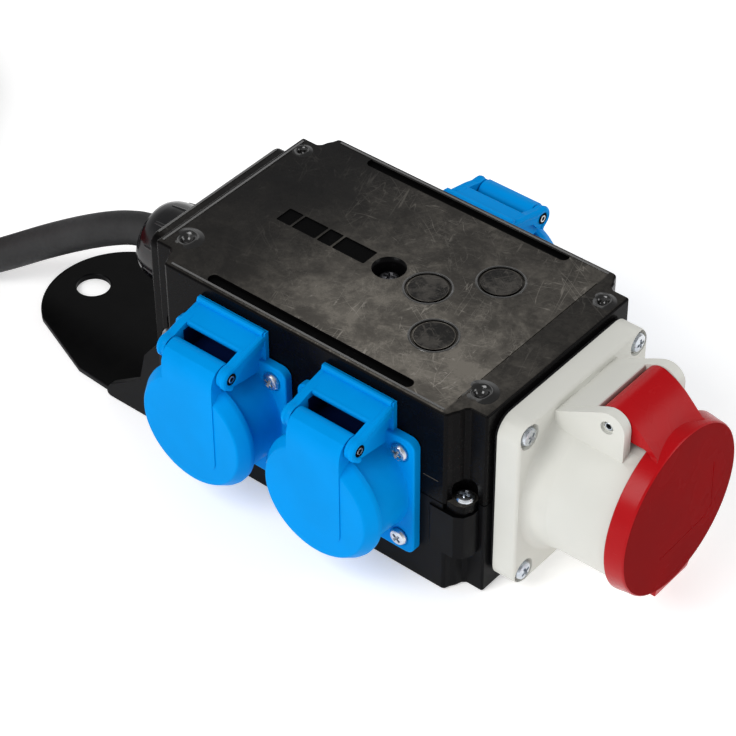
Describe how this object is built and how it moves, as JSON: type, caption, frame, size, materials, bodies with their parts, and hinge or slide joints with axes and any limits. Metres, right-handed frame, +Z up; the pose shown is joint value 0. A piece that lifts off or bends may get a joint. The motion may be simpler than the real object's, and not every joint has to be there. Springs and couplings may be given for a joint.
{
  "type": "portable power distribution box",
  "caption": "Portable power distribution box with a dark split housing, blue flap-lid sockets, a grey and red round industrial socket, a cable gland with lead and plug, and a hanging tab.",
  "frame": {"origin": "centre of the bounding box of the box itself, cord left out, on the surface it rests on", "axes": "+X runs along the housing from the cable end to the round socket, +Y to the side with one socket, +Z up"},
  "size_m": [0.516, 0.1956, 0.0945],
  "materials": {
    "black_plastic": "satin, scuffed",
    "grey_plastic": "matte",
    "dark_insert": "matte",
    "blue_plastic": "satin gloss",
    "light_grey_plastic": "satin",
    "red_plastic": "satin gloss",
    "zinc_steel": "zinc plated",
    "contact_brass": "plain",
    "rubber": "matte",
    "gland_plastic": "gloss"
  },
  "bodies": {
    "housing": {"contact_sleeve_1": "contact_brass", "contact_sleeve_2": "contact_brass", "contact_sleeve_3": "contact_brass", "contact_sleeve_4": "contact_brass", "contact_sleeve_5": "contact_brass", "cord_coil": "rubber", "cord_run": "rubber", "cord_tie": "gland_plastic", "cover_screw": "zinc_steel", "end_plate": "black_plastic", "gland_body": "gland_plastic", "gland_locknut": "zinc_steel", "gland_nut": "gland_plastic", "gland_seal": "rubber", "housing_screw_1": "zinc_steel", "housing_screw_2": "zinc_steel", "housing_screw_3": "zinc_steel", "housing_screw_4": "zinc_steel", "lower_housing": "grey_plastic", "plug_body": "red_plastic", "plug_contact_pins": "contact_brass", "plug_nut": "gland_plastic", "round_lid_pin": "zinc_steel", "round_lid_spring": "zinc_steel", "round_socket_body": "light_grey_plastic", "round_socket_gasket": "rubber", "round_socket_insert": "dark_insert", "round_socket_screw_1": "zinc_steel", "round_socket_screw_2": "zinc_steel", "round_socket_screw_3": "zinc_steel", "round_socket_screw_4": "zinc_steel", "socket_front_left_body": "blue_plastic", "socket_front_left_pin": "zinc_steel", "socket_front_left_screw_1": "zinc_steel", "socket_front_left_screw_2": "zinc_steel", "socket_front_left_screw_3": "zinc_steel", "socket_front_left_screw_4": "zinc_steel", "socket_front_left_spring": "zinc_steel", "socket_front_right_body": "blue_plastic", "socket_front_right_pin": "zinc_steel", "socket_front_right_screw_1": "zinc_steel", "socket_front_right_screw_2": "zinc_steel", "socket_front_right_screw_3": "zinc_steel", "socket_front_right_screw_4": "zinc_steel", "socket_front_right_spring": "zinc_steel", "socket_rear_body": "blue_plastic", "socket_rear_pin": "zinc_steel", "socket_rear_screw_1": "zinc_steel", "socket_rear_screw_2": "zinc_steel", "socket_rear_screw_3": "zinc_steel", "socket_rear_screw_4": "zinc_steel", "socket_rear_spring": "zinc_steel", "terminal_block": "light_grey_plastic", "upper_housing": "black_plastic"},
    "lid_front_left": {"socket_front_left_lid": "blue_plastic"},
    "lid_front_right": {"socket_front_right_lid": "blue_plastic"},
    "lid_rear": {"socket_rear_lid": "blue_plastic"},
    "lid_round": {"round_socket_lid": "red_plastic", "round_lid_seal": "rubber"}
  },
  "joints": [
    {"name": "lid_front_left_hinge", "type": "hinge", "parent": "housing", "child": "lid_front_left", "pos_m": [-0.01213, -0.06512, 0.06497], "axis": [-1, 0, 0], "range_deg": [0, 105], "stiffness_Nm_per_rad": 0.03, "springref_deg": -28.65},
    {"name": "lid_front_right_hinge", "type": "hinge", "parent": "housing", "child": "lid_front_right", "pos_m": [0.04292, -0.06512, 0.06497], "axis": [-1, 0, 0], "range_deg": [0, 105], "stiffness_Nm_per_rad": 0.03, "springref_deg": -28.65},
    {"name": "lid_rear_hinge", "type": "hinge", "parent": "housing", "child": "lid_rear", "pos_m": [0.01825, 0.06512, 0.06892], "axis": [1, 0, 0], "range_deg": [0, 105], "stiffness_Nm_per_rad": 0.03, "springref_deg": -28.65},
    {"name": "lid_round_hinge", "type": "hinge", "parent": "housing", "child": "lid_round", "pos_m": [0.11955, -0.00002, 0.07652], "axis": [0, -1, 0], "range_deg": [0, 105], "stiffness_Nm_per_rad": 0.05, "springref_deg": -28.65}
  ]
}
